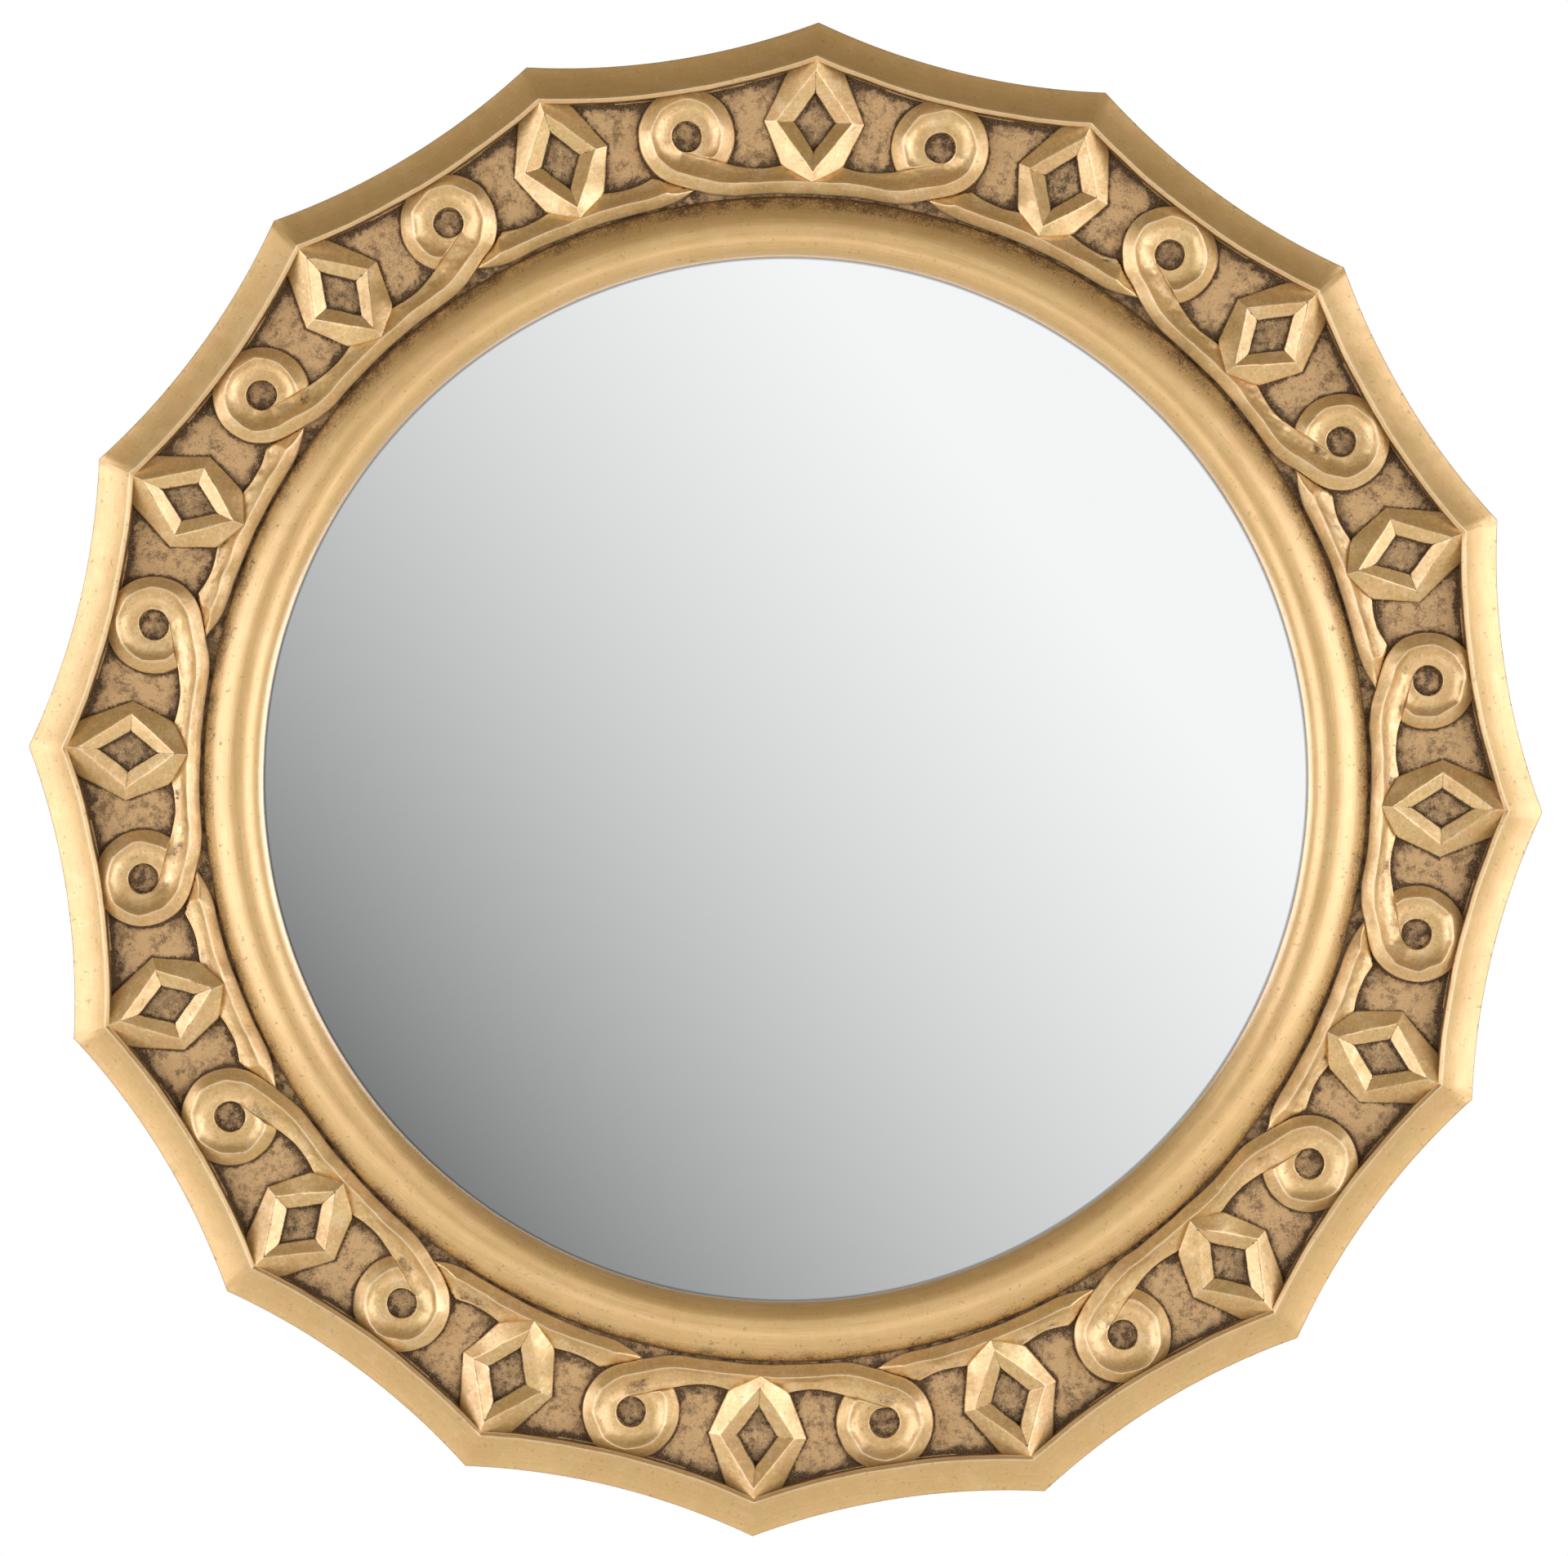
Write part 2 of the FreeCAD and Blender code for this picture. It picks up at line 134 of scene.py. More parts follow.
def softLine(corners, rounding, step):
    # polyline of (offset, height) corners: each inner corner becomes a quadratic arc, long runs are divided
    c = np.array(corners, float)
    t = np.linspace(0, 1, 7)[:, None]
    parts = [c[:1]]
    for k in range(1, len(c) - 1):
        back, ahead = c[k - 1] - c[k], c[k + 1] - c[k]
        a = c[k] + back * min(0.45, rounding[k] / np.hypot(*back))
        b = c[k] + ahead * min(0.45, rounding[k] / np.hypot(*ahead))
        parts.append((1 - t) ** 2 * a + 2 * t * (1 - t) * c[k] + t ** 2 * b)
    line = np.concatenate(parts + [c[-1:]])
    run = np.concatenate([[0], np.cumsum(np.hypot(*np.diff(line, axis=0).T))])
    at = np.unique(np.round(np.concatenate([run, np.arange(0, run[-1], step)]), 4))
    return np.stack([np.interp(at, run, line[:, 0]), np.interp(at, run, line[:, 1])], -1)


def nearness(line, points, reach):
    # bell of the distance from each point of the line to the nearest of the given points
    away = line[:, None] - np.array(points)[None]
    return bell(np.min(np.hypot(away[..., 0], away[..., 1]), 1), reach)


def gridQuads(n, m):
    # corners of the quads between neighbours of an n by m grid
    index = np.arange(n * m).reshape(n, m)
    return np.stack([index[:-1, :-1], index[1:, :-1], index[1:, 1:], index[:-1, 1:]], -1).reshape(-1, 4)


def gridPiece(name, p, marks, path, look, replaced=(), body="frame", solid=False):
    # mesh of a grid of points in mm: quads between neighbours, doubles merged so that seams and poles close,
    # turned to face the front, or outwards by the sign of the volume where the grid closes on itself
    n, m = p.shape[:2]
    quads = gridQuads(n, m)
    flat = p.reshape(-1, 3) * mm
    a, b, c, d = (flat[quads[:, k]] for k in range(4))
    facing = np.cross(c - a, d - b)
    if (np.sum(a * facing) < 0) if solid else (facing[:, 1].sum() > 0):
        quads = quads[:, ::-1]
    mesh = bpy.data.meshes.new(name)
    mesh.vertices.add(len(flat))
    mesh.vertices.foreach_set("co", flat.ravel())
    mesh.loops.add(quads.size)
    mesh.loops.foreach_set("vertex_index", quads.ravel())
    mesh.polygons.add(len(quads))
    mesh.polygons.foreach_set("loop_start", np.arange(0, quads.size, 4))
    mesh.update(calc_edges=True)
    mesh.polygons.foreach_set("use_smooth", np.ones(len(quads), bool))
    for key, values in marks.items():
        values = np.broadcast_to(values, (n, m)).ravel().astype(np.float32)
        mesh.attributes.new(key, "FLOAT", "POINT").data.foreach_set("value", values)
    uv = np.stack(np.broadcast_arrays(*path), -1).reshape(-1, 2)[quads.ravel()] * mm
    mesh.uv_layers.new(name="path").uv.foreach_set("vector", uv.ravel().astype(np.float32))
    work = bmesh.new()
    work.from_mesh(mesh)
    bmesh.ops.remove_doubles(work, verts=work.verts, dist=2e-7)
    work.to_mesh(mesh)
    work.free()
    mesh.materials.append(look)
    piece = bpy.data.objects.new(name, mesh)
    scene.collection.objects.link(piece)
    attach(piece, body)
    if replaced:
        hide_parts(*replaced)


class Wire:  # a shader socket that takes part in arithmetic: each operator adds one Math node
    def __init__(self, tree, socket):
        self.tree, self.socket = tree, socket

    def reckon(self, operation, first, second):
        node = self.tree.nodes.new("ShaderNodeMath")
        node.operation = operation
        for port, value in zip(node.inputs, (first, second)):
            if isinstance(value, Wire):
                self.tree.links.new(value.socket, port)
            else:
                port.default_value = value
        return Wire(self.tree, node.outputs[0])

    def __add__(self, other): return self.reckon("ADD", self, other)
    def __radd__(self, other): return self.reckon("ADD", other, self)
    def __sub__(self, other): return self.reckon("SUBTRACT", self, other)
    def __rsub__(self, other): return self.reckon("SUBTRACT", other, self)
    def __mul__(self, other): return self.reckon("MULTIPLY", self, other)
    def __rmul__(self, other): return self.reckon("MULTIPLY", other, self)
    def __pow__(self, other): return self.reckon("POWER", self, other)
    def upTo(self, other): return self.reckon("MINIMUM", self, other)
    def atLeast(self, other): return self.reckon("MAXIMUM", self, other)


class Finish:  # one node tree, with short ways to the nodes that the finishes use
    ports = {"colour": "Base Color", "metallic": "Metallic", "roughness": "Roughness", "normal": "Normal",
             "coat": "Coat Weight", "coatRoughness": "Coat Roughness", "coatBend": "Coat IOR",
             "specular": "Specular IOR Level"}

    def __init__(self, name, owner=None):
        self.owner = owner or bpy.data.materials.new(name)
        self.owner.use_nodes = True
        self.tree = self.owner.node_tree
        self.tree.nodes.clear()

    def node(self, kind, settings=None, sockets=None, out=0):
        node = self.tree.nodes.new(kind)
        for key, value in (settings or {}).items():
            setattr(node, key, value)
        for key, value in (sockets or {}).items():
            port = node.inputs[key]
            if isinstance(value, Wire):
                self.tree.links.new(value.socket, port)
            elif isinstance(value, tuple) and len(port.default_value) > len(value):
                port.default_value = (*value, 1)  # a colour and its alpha
            else:
                port.default_value = value
        return Wire(self.tree, node.outputs[out]) if node.outputs else None

    def outlets(self, wire, *names):
        return [Wire(self.tree, wire.socket.node.outputs[name]) for name in names]

    def place(self): return self.node("ShaderNodeTexCoord", out=3)

    def xyz(self):
        split = self.node("ShaderNodeSeparateXYZ", sockets={"Vector": self.place()})
        return self.outlets(split, "X", "Y", "Z")

    def stretched(self, vector, scale):
        return self.node("ShaderNodeMapping", sockets={"Vector": vector, "Scale": scale})

    def path(self, along, across):
        return self.stretched(self.node("ShaderNodeUVMap", {"uv_map": "path"}), (along, across, 1.0))

    def mark(self, name): return self.node("ShaderNodeAttribute", {"attribute_name": name}, out=2)

    def noise(self, vector, scale, detail=3.0, roughness=0.55):
        return self.node("ShaderNodeTexNoise", sockets={"Vector": vector, "Scale": scale, "Detail": detail,
                                                        "Roughness": roughness})

    def between(self, value, low, high):
        return self.node("ShaderNodeMapRange", {"interpolation_type": "SMOOTHSTEP"},
                         {"Value": value, "From Min": low, "From Max": high})

    def mix(self, share, first, second):
        return self.node("ShaderNodeMix", {"data_type": "RGBA"}, {0: share, 6: first, 7: second}, out=2)

    def bump(self, height, distance, strength, under=None):
        sockets = {"Height": height, "Distance": distance, "Strength": strength}
        if under:
            sockets["Normal"] = under
        return self.node("ShaderNodeBump", sockets=sockets)

    def surface(self, shader):
        self.node("ShaderNodeOutputMaterial", sockets={"Surface": shader})
        return self.owner

    def done(self, **sockets):
        named = {self.ports[key]: value for key, value in sockets.items()}
        return self.surface(self.node("ShaderNodeBsdfPrincipled", sockets=named))


# Gilding: leaf over brown ground, rubbed bright on edges, patina and painted shade in the creases and in the
# punched ground.
# The noises are (scale, detail, roughness), the streaks (along, across) the path
gilt = {"deep": (0.56, 0.308, 0.080), "gold": (0.748, 0.480, 0.168), "pale": (0.92, 0.705, 0.40),
        "patinaAndShade": (0.142, 0.072, 0.021), "olive": (0.67, 0.472, 0.152), "rose": (0.77, 0.475, 0.188),
        "groundTan": (0.66, 0.43, 0.190), "groundBrown": (0.27, 0.162, 0.066),
        "groundDark": (0.112, 0.063, 0.026), "roughness": 0.395, "metallic": 0.54, "coat": 0.82,
        "coatRoughness": 0.30, "coatBend": 1.75, "specular": 0.3, "toolMarks": 0.00015, "punchMarks": 0.0006,
        "cloud": (34.0, 3.0, 0.55), "cluster": (55.0, 2.0, 0.55), "tint": (85.0, 4.0, 0.6),
        "wear": (130.0, 6.0, 0.68), "mottle": (240.0, 4.0, 0.6), "fleck": (520.0, 2.0, 0.5),
        "dab": (620.0, 3.0, 0.65), "grit": (950.0, 3.0, 0.6), "dustAndShade": (2100.0, 2.0, 0.6),
        "streak": (45.0, 1700.0)}


def makeGilt():
    look = Finish("carved gilt")
    at = look.place()
    crease, edge, stipple, worn = (look.mark(key) for key in ("crease", "edge", "stipple", "worn"))
    cloud, cluster, tint, wear, mottle, fleck, dab, grit, dustAndShade = (look.noise(at, *gilt[key]) for key in (
        "cloud", "cluster", "tint", "wear", "mottle", "fleck", "dab", "grit", "dustAndShade"))
    streak = look.noise(look.path(*gilt["streak"]), 1.0, 3.0, 0.6)

    # the leaf, layer on layer
    body = look.between(cloud * 0.40 + streak * 0.45 + mottle * 0.15, 0.38, 0.60)
    gold = look.mix(0.66 + 0.34 * body, gilt["deep"], gilt["gold"])
    for share, colour in (
            (look.between(streak, 0.50, 0.78) * 0.28, "pale"),
            (look.between(tint, 0.46, 0.62) * (0.25 + 0.30 * worn), "olive"),  # leaf from two books
            (look.between(0.5 - tint, 0.0, 0.14) * 0.30, "rose"),
            (look.between(wear, 0.52, 0.70) * (0.14 + 0.40 * worn), "pale"),  # rubbed
            (look.between(0.5 - wear, 0.03, 0.20) * (0.12 + 0.38 * worn), "deep"),  # toned lacquer
            (look.between(dab, 0.53, 0.66) * (0.06 + 0.34 * worn), "pale"),  # millimetre dabs and scuffs
            (look.between(0.5 - dab, 0.02, 0.15) * (0.06 + 0.30 * worn), "deep"),
            ((edge * (0.25 + mottle)).upTo(1.0) * 0.62, "pale")):
        gold = look.mix(share, gold, gilt[colour])

    # patina and painted shade in creases, pits and peppered patches, with leaf left on its high grains
    stainAndShade = look.between(crease + ((mottle - 0.5) * 0.8 + (grit - 0.5) * 1.3) * crease, 0.34, 0.98)
    pits = look.between(fleck, 0.645, 0.70) * (0.35 + 0.65 * crease.upTo(1.0))
    pepper = look.between(grit * 0.6 + dustAndShade * 0.4, 0.56, 0.64) * look.between(cluster, 0.50, 0.66)
    stainAndShade = (stainAndShade + pits * 0.75 + pepper * (0.15 + 0.45 * worn)).upTo(1.0)
    gold = look.mix(stainAndShade, gold, gilt["patinaAndShade"])
    gold = look.mix(look.between(grit, 0.61, 0.69) * stainAndShade * 0.8, gold, gilt["pale"])

    # the punched ground: rubbed tan, dirt and painted shadow at the feet, bright grains
    rub = (grit - 0.5) * 1.6 + (dustAndShade - 0.5) * 0.8 + (mottle - 0.5) * 2.0 + (wear - 0.5) * 3.2 + 0.38
    rub = look.between(rub, -0.35, 0.60)
    punched = look.mix(rub, gilt["groundBrown"], gilt["groundTan"])
    ragged = ((grit - 0.5) * 1.2 + (mottle - 0.5) * 2.4) * (crease * 2.2).upTo(1.0)
    punched = look.mix(look.between(crease * 1.3 + ragged, 0.26, 1.02), punched, gilt["groundDark"])
    punched = look.mix(look.between(dustAndShade, 0.57, 0.70) * (0.30 + 0.30 * rub), punched, gilt["pale"])

    rough = gilt["roughness"] + 0.10 * (mottle - 0.5) - 0.34 * (wear - 0.5) * worn
    relief = streak * 0.4 + grit * 0.25 + mottle * 0.6 - pits * 0.9
    relief = relief + (mottle * 0.6 + wear * 1.6 + dab * 0.7) * worn
    carved = look.bump(relief, gilt["toolMarks"], 0.55)
    return look.done(
        colour=look.mix(stipple, gold, punched),
        metallic=gilt["metallic"] * (1.0 - 0.7 * stainAndShade) * (1.0 - 0.55 * stipple),
        roughness=rough + 0.22 * stainAndShade + 0.24 * stipple - 0.05 * edge,
        normal=look.bump((dustAndShade * 0.4 + grit * 1.0 + fleck * 0.8) * stipple, gilt["punchMarks"], 0.9, carved),
        coat=gilt["coat"] * (1.0 - 0.9 * stainAndShade) * (1.0 - 0.85 * stipple),
        coatRoughness=gilt["coatRoughness"], coatBend=gilt["coatBend"], specular=gilt["specular"])


giltLook = makeGilt()
print("gilding mixed")

# Rim: sixteen cove lengths, the section carried along a scallop and mitred on the point lines
rim = {"edge": 3.0, "lip": 9.5, "hollow": 0.8, "bevel": 1.5, "drop": 1.3, "steps": 121, "hand": (0.22, 0.09),
       "worn": 0.12, "mitreReach": 1.4, "mitreRub": 0.3}


def makeRim():
    # arc of radius R + inset about the scallop's centre, each inset ending where it meets the point line;
    # the cove is a straight slope less a parabola
    width = layout["rimWidth"]
    crest, low, high = width - rim["bevel"], rim["edge"], rim["lip"]
    t = np.linspace(0, 1, 15)[1:-1]
    cove = list(zip(crest * t, low + (high - low) * t - 4 * rim["hollow"] * t * (1 - t)))
    lip, shelf = (crest, high), (width, high - rim["drop"])
    corners = [(0, 0), (0, low), *cove, lip, shelf, (width, layout["sunk"])]
    line = softLine(corners, [0, 0.5, *[0.3] * len(cove), 0.32, 0.4, 0], 0.9)
    inset, h = line.T
    crease = nearness(line, [(width, rise) for rise in (0.0, 2.0, 4.0, 6.0)], 1.5)
    crease = np.maximum(crease, 0.75 * np.clip(1 - h / 2.6, 0, 1) * (inset < 0.2))
    crease = np.maximum(crease, 0.8 * nearness(line, [(0, low)], 0.4))
    far = scallopRadius + inset
    sweep = np.arcsin(scallopEdge(inset, halfPitch) * math.sin(halfPitch) / far)
    u = np.linspace(-1, 1, rim["steps"])[:, None]
    x, y = far * np.sin(u * sweep), scallopCentre - far * np.cos(u * sweep)
    mitre = bell((1 - np.abs(u)) * chordHalf, rim["mitreReach"]) * (h > 0.5)  # rubbed soft
    marks = {"edge": nearness(line, [lip, shelf], 0.8), "crease": np.maximum(crease, 0.12 * mitre),
             "worn": rim["worn"]}
    for k in range(layout["points"]):
        p = handCut(place(x, y, h - rim["mitreRub"] * mitre, (k + 0.5) * pitch), *rim["hand"])
        gridPiece(numbered("rim", k), p, marks, (u * chordHalf + 150.0 * k, inset + h), giltLook,
                  [numbered("rim_length", k)])


makeRim()
print("rim laid")

# Bead: half round; its patina and painted shade go by the distance from the outer edge, and more painted
# shade darkens the slope facing up, most at the top of the frame
bead = {"height": 10.55, "crown": 1.6, "steps": 1280, "profile": 45, "hand": (0.07, 0.04),
        "patinaAndShadeAt": [0, 0.8, 1.4, 2.3, 3.6, 5, 6.2, 7.5, 9, 11],
        "patinaAndShade": [0.95, 0.84, 0.70, 0.61, 0.50, 0.40, 0.31, 0.22, 0.12, 0],
        "topShadeAt": [0, 5, 9], "dustAndShade": [0.12, 0.24, 0], "uneven": 0.22, "sightLine": 0.30}


def makeBead():
    # half ellipse from sight edge to carved field, its crown moved a little inwards, turned about the middle
    t = np.linspace(0, math.pi, bead["profile"])
    middle, half = (sightRadius + beadOuter) / 2, layout["beadWidth"] / 2
    r, h = middle - half * np.cos(t) - bead["crown"] * np.sin(t) ** 2, bead["height"] * np.sin(t)
    r, h = np.append(r, r[-1]), np.append(h, layout["sunk"])
    angle = np.linspace(0, 2 * math.pi, bead["steps"] + 1)[:, None]
    p = place(r * np.sin(angle), r * np.cos(angle), h)
    p[:-1] = handCut(p[:-1], *bead["hand"])
    p[-1] = p[0]
    # painted shade: the outer slope darker where it faces up, most at the top of the frame
    dustAndShade = np.clip(np.cos(angle), 0, 1) * np.interp(beadOuter - r, bead["topShadeAt"], bead["dustAndShade"])
    crease = np.interp(beadOuter - r, bead["patinaAndShadeAt"], bead["patinaAndShade"]) + dustAndShade
    crease = crease * (1 + bead["uneven"] * ripple(p, 7.0, 31))
    # painted shade: a thin dark line along the bead's foot at the glass
    crease = crease + bead["sightLine"] * bell(r - sightRadius, 0.4)
    gridPiece("bead", p, {"crease": crease}, (angle * middle, r), giltLook, ["bead_ring"])


makeBead()
print("bead turned")

# Bands: bevel, ridge and hollow, round the bead, straight on to the curl and round its eye
band = {"edge": 3.0, "ridge": 6.5, "bevel": 4.6, "far": 2.4, "sag": 1.2, "lean": 5.0, "width": 10.4,
        "shoulder": 25.0, "shoulderRise": 1.0, "tuck": 1.7, "arcSteps": 44, "runSteps": 24, "curlSteps": 108,
        "wander": 0.42, "wanderEvery": 9, "soften": 8, "flats": 9, "flatDepth": 0.42, "dishFall": 2.9,
        "dishPower": 2.6, "hand": (0.38, 0.17), "worn": 0.85, "rough": 0.60}


class Curl:  # points of the right-hand curl of a band that is centred on the top point line
    eye = eyeDistance * np.array([math.sin(halfPitch), math.cos(halfPitch)])
    leadAngle = halfPitch - layout["curlLead"] / bandInner
    leadOut = np.array([math.sin(leadAngle), math.cos(leadAngle)])
    lead = bandInner * leadOut
    reach = lead - eye
    spread = math.acos(curlRadius / np.hypot(*reach))
    toTouch = np.array([reach[0] * math.cos(spread) - reach[1] * math.sin(spread),
                        reach[0] * math.sin(spread) + reach[1] * math.cos(spread)]) / np.hypot(*reach)
    touch = eye + curlRadius * toTouch  # where the straight run meets the curl's circle
    run = (touch - lead) / np.hypot(*(touch - lead))
    across = -toTouch
    corner = eye + layout["eye"] * toTouch - math.sqrt(curlRadius ** 2 - layout["eye"] ** 2) * run
    mitre = (leadOut + across) / ((leadOut + across) @ across)  # way of the joint between arc and run


def scoopRadius(angle):
    # radius where the scoop between lozenge and curl cuts the band: circle through shoulder, middle, corner
    low = bandInner + band["width"]
    first, last = band["shoulder"] / 2 / low, math.atan2(*Curl.corner)
    mid = 0.5 * (first + last)
    a = (low + band["shoulderRise"]) * np.array([math.sin(first), math.cos(first)])
    b = low * np.array([math.sin(mid), math.cos(mid)])
    c = Curl.corner
    centre = np.linalg.solve(2 * np.array([b - a, c - a]), np.array([b @ b - a @ a, c @ c - a @ a]))
    size = np.hypot(*(centre - a))
    angle = np.clip(angle, first, last)
    along = centre[0] * np.sin(angle) + centre[1] * np.cos(angle)
    return along - np.sqrt(np.maximum(size ** 2 - centre @ centre + along ** 2, 0))


def hollowHeight(o):
    # the hollow side: straight from ridge to far edge, less a parabola
    t = (o - band["bevel"]) / (bandFull - band["bevel"])
    return band["ridge"] + (band["far"] - band["ridge"]) * t - 4 * band["sag"] * t * (1 - t)


def bandSection():
    # the near part as (offset, height); shares of the width and drops for the far part, which can be trimmed
    start = band["bevel"] + 1.6
    near = softLine([(0, layout["sunk"]), (0, band["edge"]), (band["bevel"], band["ridge"]),
                     (start, hollowHeight(start))], [0, 0.42, 0.45, 0], 0.7)
    share = np.concatenate([np.linspace(0.06, 0.97, 15), [1.0, 1.0, 1.0]])
    drop = np.concatenate([np.zeros(15), [0.12, 0.6, 9.0]])
    return near, start, share, drop


def ridgeWander(seed, columns, o):
    # sideways drift of the ridge along the band: random numbers every few columns, joined smoothly, none at
    # the middle, falling off as a bell to both sides of the ridge
    every = band["wanderEvery"]
    knots = np.random.default_rng(seed).uniform(-1, 1, columns // every + 3)
    knots[0] = 0
    at = np.arange(columns) / every
    low, f = np.floor(at).astype(int), at % 1
    drift = band["wander"] * (knots[low] + (knots[low + 1] - knots[low]) * f * f * (3 - 2 * f))[:, None]
    return drift * bell(o - band["bevel"], 2.0) * (o > 0.05)


def softened(xy, joint):
    # moving average of the columns round the joint, so that the band bends there instead of breaking
    reach = band["soften"]
    spread = np.concatenate([np.repeat(xy[:1], reach, 0), xy, np.repeat(xy[-1:], reach, 0)])
    mean = sum(spread[k:k + len(xy)] for k in range(2 * reach + 1)) / (2 * reach + 1)
    share = np.exp(-((np.arange(len(xy)) - joint) / (1.5 * reach)) ** 4)[:, None, None]
    return xy + (mean - xy) * share


def bandHalf(seed):
    # right half as columns of plan points, heights, offsets and length: round the bead from the point line,
    # soft bend, straight run to the touch point
    near, start, share, drop = bandSection()
    arcT, runT = np.linspace(0, 1, band["arcSteps"]), np.linspace(0, 1, band["runSteps"] + 1)[1:]
    turned = arcT * math.atan2(*(Curl.lead + 0.8 * bandFull * Curl.mitre))
    trim = np.clip(scoopRadius(turned) - bandInner, start + 1.0, bandFull)
    widths = np.concatenate([trim, np.full(len(runT), bandFull)])[:, None]
    farO = start + (widths - start) * share
    farH = np.maximum(hollowHeight(farO) - drop, layout["sunk"])
    o, h = (np.concatenate([np.broadcast_to(near[:, k], (len(widths), len(near))), part], 1)
            for k, part in enumerate((farO, farH)))
    o = o + ridgeWander(seed, len(o), o)
    joint = Curl.lead + o[..., None] * Curl.mitre
    n = len(arcT)
    angle = arcT[:, None] * np.arctan2(joint[:n, :, 0], joint[:n, :, 1])
    outward = np.hypot(joint[:n, :, 0], joint[:n, :, 1]) - bandInner - o[:n]  # added by the mitre
    r = bandInner + o[:n] + outward * arcT[:, None] ** 6
    arc = np.stack([r * np.sin(angle), r * np.cos(angle)], -1)
    straight = joint[n:] + (Curl.touch + o[n:, :, None] * Curl.across - joint[n:]) * runT[:, None, None]
    xy = softened(np.concatenate([arc, straight]), n)
    turnedLength = angle[:, 0] * bandInner
    length = np.append(turnedLength, turnedLength[-1] + runT * np.hypot(*(Curl.touch - Curl.lead)))
    return xy, h, o, length


def curlHalf(o, h, length, seed):
    # the section carried round the eye: radius = curl radius - offset, leaning down towards its end, which is
    # cut off along the band's far edge and closed by an upright end; the hollow turns into a dish
    rho = curlRadius - o
    share = np.clip((o - band["bevel"]) / (bandFull - band["bevel"]), 0, 1)
    dish = band["ridge"] - band["dishFall"] * (1 - (1 - share) ** band["dishPower"]) - hollowHeight(o)
    dish = np.where((o > band["bevel"]) & (h > 0), dish, 0)
    last = 2 * math.pi - np.arccos(np.clip(layout["eye"] / rho, -1, 1))
    t = np.linspace(0, 1, band["curlSteps"] + 1)[1:, None]
    phi = t * last
    flat = math.pi / band["flats"]
    facet = 1 - math.cos(flat) / np.cos(phi % (2 * flat) - flat)
    drift = ridgeWander(seed, len(t), o)
    rho = rho * (1 - band["flatDepth"] * facet * bell(o - band["bevel"], 2.4)) - drift
    xy = Curl.eye + (rho * np.cos(phi))[..., None] * Curl.toTouch + (rho * np.sin(phi))[..., None] * Curl.run
    height = h + dish * np.clip(phi / 0.9, 0, 1) * np.clip((1.25 - t) / 0.35, 0, 1)
    height = height + math.tan(math.radians(band["lean"])) * rho * np.sin(phi)
    height = np.where(h > 0, np.maximum(height, layout["sunk"]), h)
    xy = np.concatenate([xy, xy[-1:]])
    height = np.concatenate([height, np.full((1, len(o)), layout["sunk"])])
    return xy, height, length + np.append(phi[:, 0], phi[-1, 0]) * curlRadius * 0.7


def scrollHalf(seed):
    # band and curl joined into one run of columns
    xy, h, o, length = bandHalf(seed)
    curlXy, curlH, curlLength = curlHalf(o[-1], h[-1], length[-1], seed + 50)
    o = np.concatenate([o, np.broadcast_to(o[-1], (len(curlXy), o.shape[1]))])
    return np.concatenate([xy, curlXy]), np.concatenate([h, curlH]), o, np.append(length, curlLength)


def linkHalf(seed):
    # band whose end is bevelled down to the neighbouring curl and drops out of sight inside it
    xy, h, o, length = bandHalf(seed)
    axis = np.array([math.sin(halfPitch), math.cos(halfPitch)])
    flipped = 2 * (xy @ axis)[..., None] * axis - xy  # seen from the neighbour's curl
    side, ahead = (flipped - Curl.lead) @ Curl.across, (flipped - Curl.lead) @ Curl.run
    gap = np.hypot(xy[..., 0] - Curl.eye[0], xy[..., 1] - Curl.eye[1]) - curlRadius
    h = np.where(h > 0, np.minimum(h, band["tuck"] + gap), h)
    hidden = layout["sunk"] - 0.1
    return xy, np.where((side > -0.03) & (ahead > -bandFull), hidden, np.maximum(h, hidden)), o, length


def makeBand(half, name, node, seed, turn):
    # two halves, the left one mirrored, as one grid; the hollow side is rough and keeps its patina
    mirrored = ([-1, 1], 1, 1, -1)  # signs of plan, height, offset and length
    xy, h, o, length = (np.concatenate([left[:0:-1] * sign, right])
                        for left, right, sign in zip(half(seed), half(seed + 1), mirrored))
    farGap = np.abs(o - o.max(1, keepdims=True))
    onCurl = np.clip((np.abs(length) - 56.0) / 8.0, 0, 1)[:, None]
    edge = bell(o - band["bevel"], 0.8) + 0.8 * bell(o, 0.7) * (h > 2.0)
    crease = 0.88 * bell(np.maximum(h, 0), 1.2) + 0.30 * bell(farGap, 0.7)
    gouged = np.clip((o - band["bevel"] - 0.8) / 2.0, 0, 1) * np.clip(farGap / 1.2, 0, 1)
    gouged = gouged * (1 - 0.85 * onCurl)
    p = place(xy[..., 0], xy[..., 1], h, turn)
    chips = gouged * (0.16 * ripple(p, 3.4, 11) + 0.11 * ripple(p, 1.6, 12))
    rough = np.clip(ripple(p, 8.0, 13) + 0.3, 0, 1) * gouged
    p = handCut(p, *band["hand"])
    p[..., 1] -= chips
    crease = np.clip(crease + band["rough"] * rough + 1.5 * np.clip(-chips, 0, 1), 0, 1.3)
    gridPiece(name, p, {"edge": edge, "worn": band["worn"], "crease": crease},
              (length[:, None] + 37.0 * seed, o + np.minimum(h, 0)), giltLook, [node])


for k in range(layout["points"] // 2):
    makeBand(scrollHalf, numbered("scroll", k), numbered("c_scroll", k), 100 + 4 * k, 2 * k * pitch)
    makeBand(linkHalf, numbered("link", k), numbered("link_band", k), 102 + 4 * k, (2 * k + 1) * pitch)
print("bands and curls cut")

